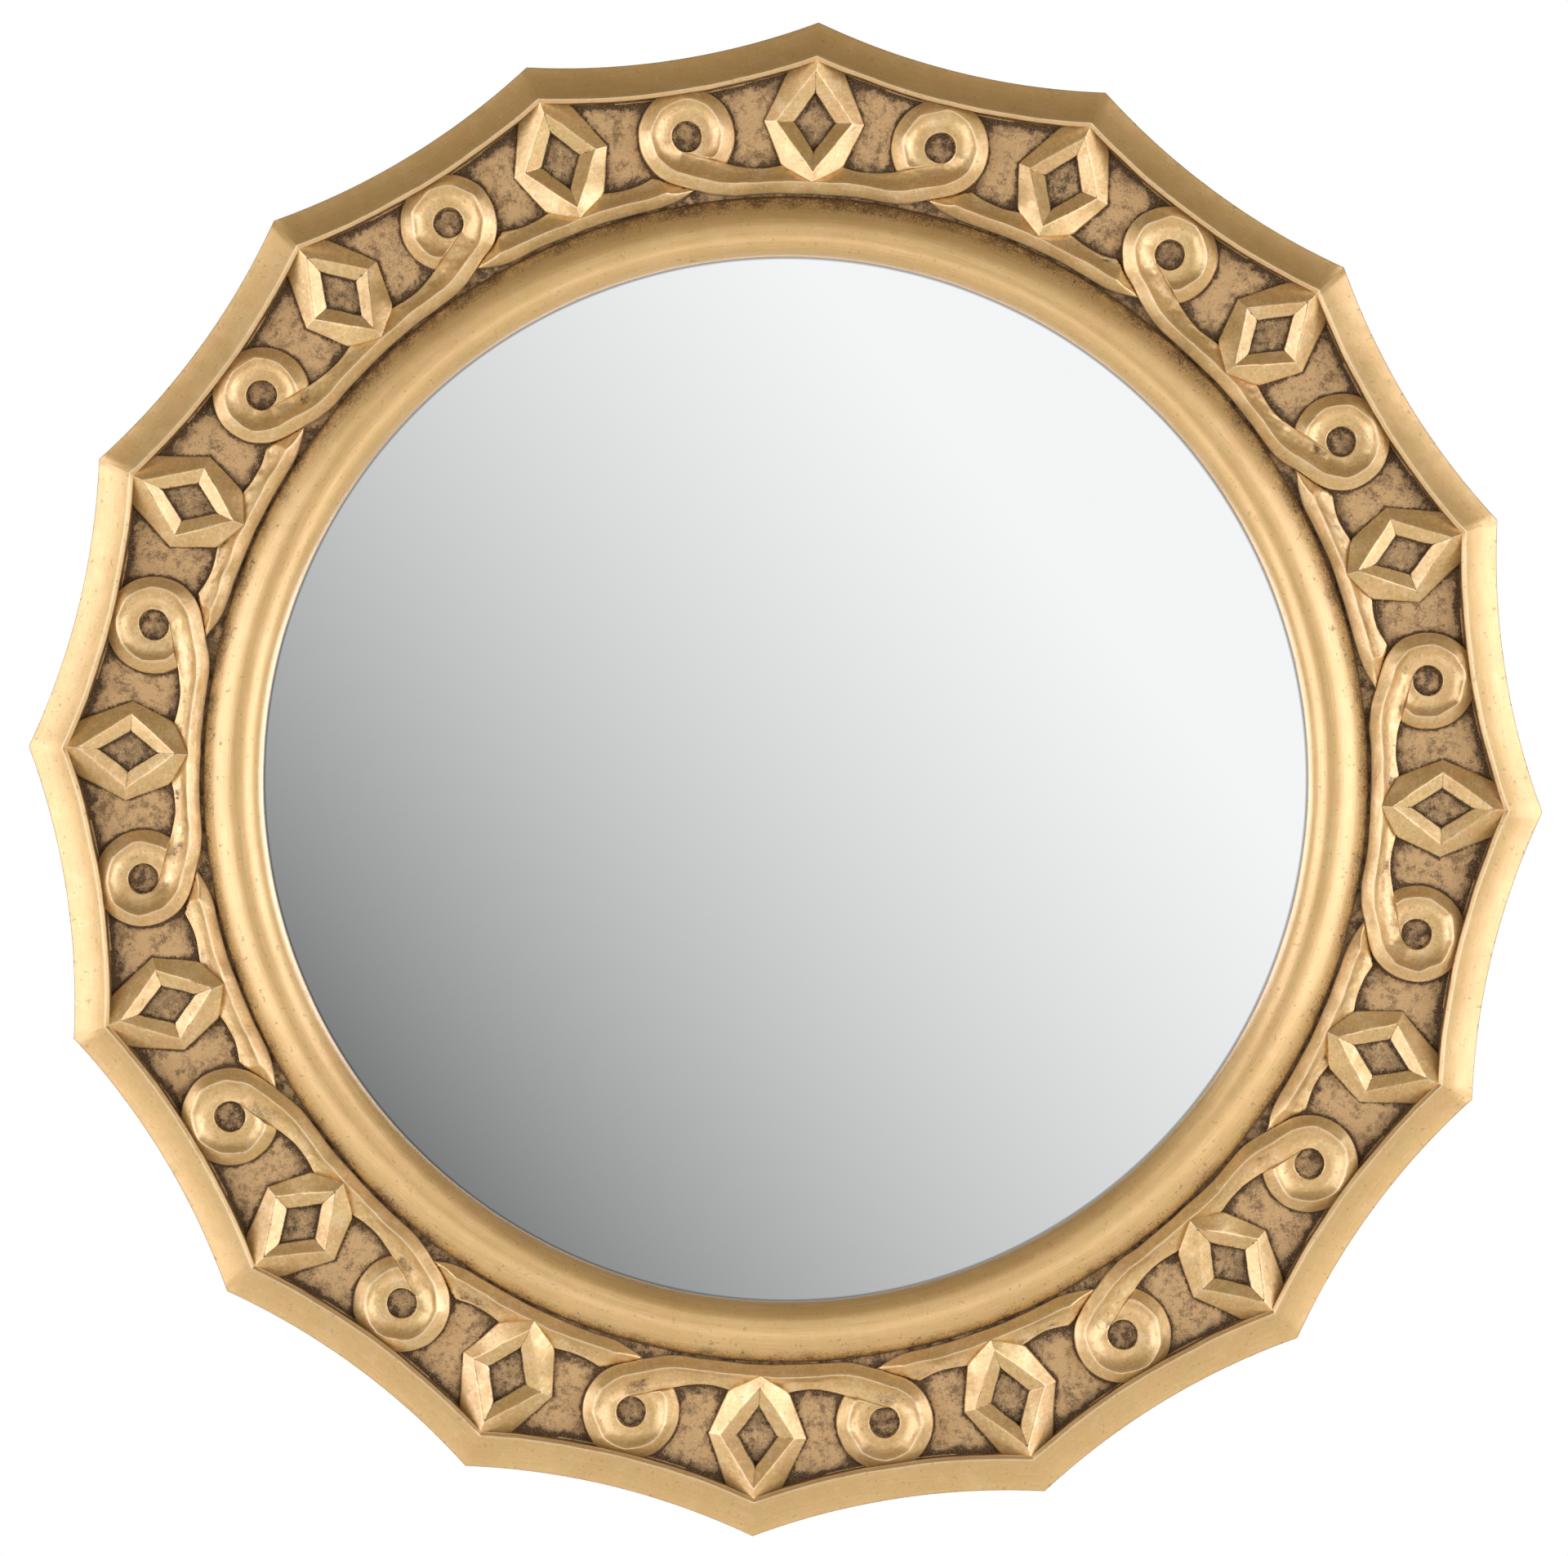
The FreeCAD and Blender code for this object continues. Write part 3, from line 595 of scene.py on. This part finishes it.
# Lozenges: four outer facets up to a crest, four inner facets down to a sunk diamond. "land" is the height
# at which the lower facets end on the band, from the side corner to the tip
lozenge = {"width": 39.4, "crestWidth": 29.4, "crestLength": 40.0, "sideHeight": 4.0, "endHeight": 9.0,
           "recessWidth": 16.0, "recessLength": 24.0, "floor": 0.6, "recessSlope": 2.0, "fall": 0.6,
           "landAt": [0, 0.25, 0.51, 1], "land": [1.0, 1.6, 3.8, 7.6], "vary": 0.022, "turn": 1.3, "seed": 5,
           "hand": (0.28, 0.16)}


def makeLozenges():
    # rays from the middle through the crest rhombus to the outline; height = the lower of two surfaces:
    # facets that fall straight from the crest to the top of a small wall, and an inverted pyramid, cut off by
    # a flat floor
    rng = np.random.default_rng(lozenge["seed"])
    outerTip, ridge = scallopEdge(layout["rimWidth"], halfPitch), bandInner + band["bevel"]
    centre, halfLength, halfWidth = (outerTip + ridge) / 2, (outerTip - ridge) / 2, lozenge["width"] / 2
    cu, cv = lozenge["crestWidth"] / 2, lozenge["crestLength"] / 2
    ru, rv = lozenge["recessWidth"] / 2, lozenge["recessLength"] / 2
    side, end, fall = lozenge["sideHeight"], lozenge["endHeight"], lozenge["fall"]
    apex = side / (halfWidth - cu) * halfWidth  # of the pyramid whose foot is the outline
    footLength = apex * cv / (apex - end)
    dishU = (side - lozenge["recessSlope"]) / (cu - ru)
    dishFoot = side - dishU * cu
    dishV = (end - dishFoot) / cv

    quarter = np.linspace(0, 1, 33)[:-1]
    quarter = quarter - 0.13 * np.sin(2 * math.pi * quarter)  # closer together at the arrises
    f = np.concatenate([quarter, 1 - quarter, quarter, 1 - quarter, [0.0]])  # 0 at a side corner, 1 at a tip
    n = len(quarter)
    signU = np.concatenate([np.ones(n), -np.ones(2 * n), np.ones(n + 1)])
    signV = np.concatenate([np.ones(2 * n), -np.ones(2 * n), [1.0]])
    u, v = cu * (1 - f), cv * f

    # where each ray leaves the recess and meets the outline, as shares of the way to the crest
    recess = 1 / (u / ru + v / rv)
    shoulder = centre - (bandInner + band["width"] + band["shoulderRise"])
    below = halfLength / (v + u * (halfLength - shoulder) / (band["shoulder"] / 2))
    above = (halfLength + 1.2) / (v + u * math.tan(2 * halfPitch + 0.008))
    outline = np.minimum(1 / (u / halfWidth + v / footLength), np.where(signV > 0, above, below))
    floorT = np.array([0, 0.25, 0.5, 0.75, 0.92, 0.985])
    innerT = np.concatenate([[0.0, 0.03], np.linspace(0.1, 0.9, 11), [0.955, 0.985]])
    outerT = np.concatenate([[0.0, 0.03, 0.08], np.linspace(0.15, 1.0, 14), [1.0]])
    t = np.concatenate([recess[:, None] * floorT, recess[:, None] + (1 - recess[:, None]) * innerT,
                        1 + (outline[:, None] - 1) * outerT], 1)
    column = np.arange(t.shape[1])
    inside, outside = column < len(floorT), column >= len(floorT) + len(innerT)
    pu, pv = t * (u * signU)[:, None], t * (v * signV)[:, None]

    fallTop = side + fall * cu
    crest = side + (end - side) * f
    wallTop = fallTop - outline * (fall * u + (fallTop - end) / cv * v)
    wallTop = np.where(signV > 0, wallTop, np.interp(f, lozenge["landAt"], lozenge["land"]))
    up = crest[:, None] + ((wallTop - crest) / (outline - 1))[:, None] * (t - 1)
    au, av = (np.sqrt(a ** 2 + 0.02) - 0.14 for a in (pu, pv))  # sizes of u and v, rounded at the arrises
    down = dishFoot + dishU * au + dishV * av
    h = 0.5 * (up + down) - 0.5 * np.sqrt((up - down) ** 2 + 0.08)
    h = np.where(inside, lozenge["floor"], h)
    h[:, -1] = layout["sunk"]

    arris = np.minimum(np.abs(pu), np.abs(pv))
    edge = 0.2 * bell(up - down, 0.9) * ~inside + 0.5 * bell(arris, 0.6) * outside
    crease = 0.66 * bell(arris, 0.35) * ~inside * ~outside + 0.95 * bell((t - recess[:, None]) * 13, 0.5)
    crease = crease + 0.30 * bell((t - outline[:, None]) * 17, 0.6)
    crease[:, -1] = 1.0
    crease = crease + 0.40 * inside
    # painted reflection: a broken dark line along each crest, standing for the dark front reflected in the
    # rounded crest
    crestReflection = 0.75 * bell(up - down, 0.30) * ~inside
    for k in range(layout["points"]):
        size = 1 + lozenge["vary"] * rng.uniform(-1, 1, 2)
        lean = math.radians(lozenge["turn"] * rng.uniform(-1, 1))
        c, s, su, sv = math.cos(lean), math.sin(lean), pu * size[0], pv * size[1]
        p = handCut(place(su * c - sv * s, centre + su * s + sv * c, h, k * pitch), *lozenge["hand"])
        broken = crease + crestReflection * np.clip(0.45 + ripple(p, 4.0, 41), 0, 1)
        marks = {"edge": edge, "crease": broken, "stipple": inside * 1.0, "worn": 1.0 - inside}
        gridPiece(numbered("lozenge_face", k), p, marks, (pu + 60.0 * k, pv), giltLook,
                  [numbered("lozenge", k)])
    return np.stack([pu[:, -1], centre + pv[:, -1]], -1)


lozengeOutline = makeLozenges()
print("lozenges cut")

# Ground: punched face between the ornaments, darker along every foot
ground = {"columns": 170, "rows": 96, "rise": 0.25, "relief": 0.12, "endDirt": 4.4, "sideDirt": 2.3,
          "beadDirt": 6.0}


def makeGround():
    # polar grid over one sector; the dirt and painted shade mark falls off with the distance to the nearest
    # foot
    phi = np.linspace(-halfPitch, halfPitch, ground["columns"])[:, None]
    inner = scallopEdge(layout["rimWidth"], halfPitch - np.abs(phi))
    start = beadOuter - 0.6
    r = start + (inner + 1.0 - start) * np.linspace(0, 1, ground["rows"])
    x, y = r * np.sin(phi), r * np.cos(phi)
    toEye = np.hypot(np.abs(x) - Curl.eye[0], y - Curl.eye[1])
    toLozenge = np.min(np.hypot(x[..., None] - lozengeOutline[:, 0], y[..., None] - lozengeOutline[:, 1]), -1)
    end = np.minimum(inner - r, np.abs(r - scoopRadius(np.abs(phi))))  # rim and band
    side = np.minimum(np.abs(toEye - curlRadius), toLozenge)
    inEye = toEye < layout["eye"]
    gap = np.where(inEye, layout["eye"] - toEye, np.minimum(end, side))
    crease = 0.78 * np.exp(-(end / ground["endDirt"]) ** 1.4)  # most where the brush couldn't reach
    crease = crease + 0.50 * np.exp(-(side / ground["sideDirt"]) ** 1.3) + 0.6 * bell(gap, 0.8)
    # painted shadow of the rim's inner wall on the ground beside it, and dirt in the groove by the bead
    crease = crease + 0.5 * bell(inner - r, 1.7) + 0.50 * (r < bandInner + ground["beadDirt"])
    crease = np.where(inEye, 0.46 + 0.16 * bell(gap, 2.0) + 0.4 * bell(gap, 0.6), crease)
    for k in range(layout["points"]):
        p = place(x, y, ground["rise"], k * pitch)
        p[..., 1] -= ground["relief"] * (ripple(p, 1.7, 21) + 0.5 * ripple(p, 5.0, 22))
        dirtAndShade = crease * (1 + 0.30 * ripple(p, 2.2, 23)) + 0.10 * ripple(p, 6.0, 24)
        marks = {"crease": np.clip(dirtAndShade, 0, 1.4), "stipple": 1.0}
        gridPiece(numbered("ground", k), p, marks, (x, y), giltLook)


makeGround()
print("ground punched")


def dress(nodeName, look):
    # a CAD node keeps its mesh and takes a finish
    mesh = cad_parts[nodeName].data
    mesh.materials.clear()
    mesh.materials.append(look)


# Mirror glass: silvered, with a thin painted dark line, a painted reflection of the bead's foot
glass = {"silver": (0.90, 0.915, 0.92), "line": (0.30, 0.31, 0.32), "reflectionLineWidth": 1.1}


def makeGlass():
    look = Finish("silvered glass")
    x, _, z = look.xyz()
    r = (x * x + z * z) ** 0.5
    width = glass["reflectionLineWidth"]
    # painted reflection: a dark ring on the silver just inside the sight edge
    edge = look.between(r, (sightRadius - width) * mm, (sightRadius - 0.25 * width) * mm)
    haze = look.noise(look.place(), 6.0, 2.0)
    return look.done(colour=look.mix(edge * 0.8, glass["silver"], glass["line"]), metallic=1.0,
                     roughness=0.004 + 0.012 * haze)


dress("mirror_glass", makeGlass())
print("glass silvered")

# Base ring: gilded edge, bare stained wood at the back
timber = {"light": (0.33, 0.20, 0.105), "dark": (0.16, 0.088, 0.042), "grain": (12.0, 260.0, 260.0),
          "pore": (60.0, 1800.0, 1800.0), "giltFrom": (0.2885, 0.2905), "giltBack": (-0.0022, -0.0012)}


def makeTimber():
    look = Finish("base ring")
    at = look.place()
    x, y, z = look.xyz()
    r = (x * x + z * z) ** 0.5
    grain = look.noise(look.stretched(at, timber["grain"]), 1.0, 5.0, 0.6)
    pore = look.noise(look.stretched(at, timber["pore"]), 1.0, 2.0)
    wood = look.mix(look.between(grain, 0.32, 0.70), timber["dark"], timber["light"])
    wood = look.mix(look.between(pore, 0.60, 0.72) * 0.6, wood, timber["dark"])
    mottle = look.noise(at, 90.0, 4.0)
    gold = look.mix(look.between(mottle, 0.35, 0.65), gilt["deep"], gilt["gold"])
    gold = look.mix(look.between(look.noise(at, 320.0, 3.0), 0.58, 0.70) * 0.7, gold, gilt["patinaAndShade"])
    bare = look.between(y + 0.0016 * (mottle - 0.5), *timber["giltBack"])  # the leaf ends ragged
    edge = look.between(r, *timber["giltFrom"]) * (1.0 - bare)
    return look.done(colour=look.mix(edge, wood, gold), metallic=edge * 0.6, roughness=0.66 - 0.24 * edge,
                     normal=look.bump(grain * 0.5 + pore * 0.5, 0.0002, 0.5))


dress("ground_ring", makeTimber())
print("base ring stained")

# Back board: hardboard with a pressed mesh texture
board = {"light": (0.26, 0.155, 0.075), "dark": (0.15, 0.085, 0.04), "mesh": 130.0}


def makeBoard():
    look = Finish("backing board")
    at = look.place()
    fibre = look.noise(at, 420.0, 5.0, 0.7)
    cloud = look.noise(at, 14.0, 3.0)
    weave, weft = (look.node("ShaderNodeTexWave", {"bands_direction": way},
                             {"Vector": at, "Scale": board["mesh"]}, out=1) for way in "XZ")
    colour = look.mix(look.between(fibre * 0.6 + cloud * 0.4, 0.34, 0.66), board["dark"], board["light"])
    return look.done(colour=colour, roughness=0.72 + 0.1 * (fibre - 0.5),
                     normal=look.bump(weave * 0.5 + weft * 0.5 + fibre, 0.0003, 0.6))


dress("back_board", makeBoard())
print("board pressed")

# Hangers: zinc plated strap and wire, and the screws of the back; places in mm from the middle of the back
hanger = {"zinc": (0.62, 0.63, 0.64), "dull": (0.40, 0.40, 0.39), "rust": (0.24, 0.17, 0.11), "wire": 1.45,
          "bar": 7.3, "bend": 3.0, "leg": 5.0, "lean": 3.54, "pivot": (251.117, 3.22, 89.443),
          "screwRadius": 3.3, "screwDome": 1.3, "strapScrewRise": (-11.5, -26.0), "strapScrewDepth": 4.8,
          "boardScrews": 8, "boardScrewRadius": 225.8, "boardScrewDepth": 5.0, "seed": 3}
hangerSides = {"left": 1, "right": -1}


def makeZinc():
    look = Finish("plated steel")
    at = look.place()
    spangle = look.noise(at, 260.0, 3.0)
    fine = look.noise(at, 1500.0, 2.0)
    spot = look.between(look.noise(at, 120.0, 4.0), 0.60, 0.72)
    colour = look.mix(look.between(spangle, 0.35, 0.65), hanger["dull"], hanger["zinc"])
    return look.done(colour=look.mix(spot * 0.5, colour, hanger["rust"]), metallic=1.0 - 0.5 * spot,
                     roughness=0.34 + 0.12 * spangle + 0.2 * spot, normal=look.bump(fine, 0.00004, 0.5))


def makeRing(label, side):
    # round wire carried along a closed loop: bar, bend, leg, round top, leg, bend; leaning into the pocket
    bend, leg, bar, wire = hanger["bend"], hanger["leg"], hanger["bar"], hanger["wire"]
    wide, q, arch = bar + bend, np.linspace(0, math.pi / 2, 9), np.linspace(0, math.pi, 41)
    corner = np.stack([bar + bend * np.sin(q), bend - bend * np.cos(q)], -1)
    topArc = np.stack([wide * np.cos(arch), bend + leg + wide * np.sin(arch)], -1)
    half = np.stack([np.linspace(0, bar, 9), np.zeros(9)], -1)
    mirror = [-1, 1]
    loop = np.concatenate([half[:-1], corner, topArc, corner[::-1] * mirror, half[:0:-1] * mirror, half[:1]])
    ahead = np.roll(loop[:-1], -1, 0) - np.roll(loop[:-1], 1, 0)
    ahead = np.concatenate([ahead, ahead[:1]])
    out = np.stack([ahead[:, 1], -ahead[:, 0]], -1) / np.hypot(*ahead.T)[:, None]
    a = np.linspace(0, 2 * math.pi, 25)
    px, pz = (loop[:, None, k] + wire * np.cos(a) * out[:, None, k] for k in (0, 1))
    py = -wire * np.sin(a) + 0 * px
    c, s = math.cos(math.radians(hanger["lean"])), math.sin(math.radians(hanger["lean"]))
    cx, cy, cz = hanger["pivot"]
    p = np.stack([side * cx + px, -cy + py * c - pz * s, cz + pz * c + py * s], -1)
    run = np.concatenate([[0], np.cumsum(np.hypot(*np.diff(loop, axis=0).T))])
    gridPiece("wire_ring_" + label, p, {}, (run[:, None], a * wire), zincLook,
              ["hanger_ring_" + label], "ring_" + label, solid=True)


def makeScrew(name, cx, cy, cz, spin):
    # shallow dome on a polar grid with a cross recess: depth falls off away from two crossed slots
    radius, dome = hanger["screwRadius"], hanger["screwDome"]
    r = np.append(np.linspace(0, 1, 19), 1.0) * radius
    a = np.linspace(0, 2 * math.pi, 65)[:, None]
    u, v = r * np.cos(a), r * np.sin(a)
    h = dome * np.sqrt(np.clip(1 - (0.98 * r / radius) ** 2, 0, 1)) + 0 * a
    slot = np.minimum(np.abs(u), np.abs(v)) / (0.11 * radius) + np.maximum(r / radius - 0.55, 0) * 9
    h = h - 0.75 * dome * np.exp(-slot ** 4)
    h[:, -1] = -0.4
    c, s = math.cos(spin), math.sin(spin)
    p = np.stack([cx + u * c - v * s, cy + h, cz + u * s + v * c], -1)
    gridPiece(name, p, {}, (p[..., 0], p[..., 2]), zincLook, solid=True)


def makeScrews():
    # a ring of screws round the board, then a row on each strap, every head turned its own way
    rng = np.random.default_rng(hanger["seed"])
    far, (pivotX, pivotZ) = hanger["boardScrewRadius"], hanger["pivot"][::2]
    for k in range(hanger["boardScrews"]):
        a = 2 * math.pi * (k + 0.5) / hanger["boardScrews"]
        makeScrew(numbered("board_screw", k), far * math.sin(a), -hanger["boardScrewDepth"],
                  far * math.cos(a), rng.uniform(0, 1.5))
    for label, side in hangerSides.items():
        for k, rise in enumerate(hanger["strapScrewRise"]):
            makeScrew("strap_screw_%s_%d" % (label, k + 1), side * pivotX, -hanger["strapScrewDepth"],
                      pivotZ + rise, rng.uniform(0, 1.5))


zincLook = makeZinc()
for label, side in hangerSides.items():
    makeRing(label, side)
    dress("hanger_strap_" + label, zincLook)
makeScrews()
print("back fitted")

# Studio in metres: camera, floor, cards and lamps; the card goes from dark lower left to white upper right.
# Panels are (centre, half across, half up), lamps (place, size, power)
white = (1.0, 1.0, 1.0)
studio = {"distance": 2.5, "fieldWidth": 0.6307, "roll": 2.5, "shift": (-0.00066, 0.0005), "plane": -0.02,
          "sensor": 36.0, "paper": ((0.84, 0.81, 0.755), (0.88, 0.85, 0.795)), "floorWhite": 0.7,
          "floor": ((0, 0, -1.3), (5.0, 0, 0), (0, 5.0, 0)), "card": ((0, -3.4, 0), (1.3, 0, 0), (0, 0, 1.3)),
          "cardAlong": (0.74, 0.67), "cardMid": 0.755, "cardSlope": 0.887, "cardBend": 0.40,
          "cardRange": (0.18, 1.04), "flag": ((0, -1.2, 1.7), (2.6, 0, 0), (0, 1.7, 0.5)),
          "flagCloth": ((0.18, 0.135, 0.085), (0.21, 0.158, 0.10)), "fill": 0.40,
          "fillColour": (1.0, 0.91, 0.76), "lampColour": (0.98, 0.985, 1.16),
          "lamps": {"left_lamp": ((-1.85, -1.6, -0.1), (1.8, 1.8), 22.325),
                    "right_lamp": ((1.8, -1.75, 0.2), (1.8, 1.8), 25.38),
                    "low_lamp": ((0.0, -2.2, -1.0), (1.8, 0.6), 3.6)}}


def makeCamera():
    lens = bpy.data.cameras.new("camera")
    lens.sensor_width = studio["sensor"]
    lens.lens = studio["sensor"] * studio["distance"] / studio["fieldWidth"]
    camera = bpy.data.objects.new("camera", lens)
    camera.location = (studio["shift"][0], studio["plane"] - studio["distance"], studio["shift"][1])
    camera.rotation_euler = (math.radians(90), 0, 0)
    camera.rotation_euler.rotate_axis("Z", math.radians(studio["roll"]))
    scene.collection.objects.link(camera)
    scene.camera = camera


def panel(name, centre, across, up, look, seenByCamera):
    # flat grid spanned by two vectors about its centre
    s = np.linspace(-1, 1, 9)
    p = np.array(centre, float) + s[:, None, None] * np.array(across) + s[None, :, None] * np.array(up)
    mesh = bpy.data.meshes.new(name)
    mesh.from_pydata(p.reshape(-1, 3).tolist(), [], gridQuads(9, 9).tolist())
    mesh.materials.append(look)
    card = bpy.data.objects.new(name, mesh)
    scene.collection.objects.link(card)
    card.visible_camera = seenByCamera
    return card


def backgroundShare(look):
    # 1 for the rays that show the background: from the camera, or by way of metal or glass
    ray = look.node("ShaderNodeLightPath")
    eye, gloss, through = look.outlets(ray, "Is Camera Ray", "Is Glossy Ray", "Is Transmission Ray")
    return (eye + gloss + through).upTo(1.0)


def makeFloor():
    look = Finish("floor")
    paper = look.mix(look.noise(look.place(), 3.0, 4.0), *studio["paper"])
    matt = look.node("ShaderNodeBsdfPrincipled", sockets={"Base Color": paper, "Roughness": 0.8})
    glow = look.node("ShaderNodeEmission", sockets={"Color": white, "Strength": 1.0})
    shown = backgroundShare(look) * studio["floorWhite"]  # the paper keeps the shadow
    look.surface(look.node("ShaderNodeMixShader", sockets={0: shown, 1: matt, 2: glow}))
    panel("floor", *studio["floor"], look.owner, True)


def makeCards():
    look = Finish("gradient card")
    x, _, z = look.xyz()
    along = studio["cardAlong"][0] * x + studio["cardAlong"][1] * z
    shade = studio["cardMid"] + studio["cardSlope"] * along - studio["cardBend"] * along * along.upTo(0.9)
    shade = shade.atLeast(studio["cardRange"][0]).upTo(studio["cardRange"][1])
    grey = look.mix(shade, (0.0, 0.0, 0.0), white)
    look.surface(look.node("ShaderNodeEmission", sockets={"Color": grey, "Strength": 1.0}))
    front = panel("gradient_card", *studio["card"], look.owner, False)
    front.visible_diffuse = False
    front.visible_shadow = False

    look = Finish("dark flag")
    cloth = look.mix(look.noise(look.place(), 2.0), *studio["flagCloth"])
    panel("top_flag", *studio["flag"], look.done(colour=cloth, roughness=0.9), False)


def makeSky():
    scene.world = bpy.data.worlds.new("studio")
    look = Finish("studio", scene.world)
    soft = look.node("ShaderNodeBackground", sockets={"Color": studio["fillColour"],
                                                      "Strength": studio["fill"]})
    plain = look.node("ShaderNodeBackground", sockets={"Color": white, "Strength": 1.0})
    both = look.node("ShaderNodeMixShader", sockets={0: backgroundShare(look), 1: soft, 2: plain})
    look.node("ShaderNodeOutputWorld", sockets={"Surface": both})


def makeLamp(name, spot, size, power):
    # soft rectangle turned to look at the middle
    light = bpy.data.lights.new(name, "AREA")
    light.shape, light.size, light.size_y = "RECTANGLE", size[0], size[1]
    light.energy, light.color = power, studio["lampColour"]
    body = bpy.data.objects.new(name, light)
    body.location = spot
    x, y, z = spot
    body.rotation_euler = (math.atan2(math.hypot(x, y), z), 0, math.atan2(x, -y))
    scene.collection.objects.link(body)


makeCamera()
makeFloor()
makeCards()
makeSky()
for name, lamp in studio["lamps"].items():
    makeLamp(name, *lamp)
print("studio lit")
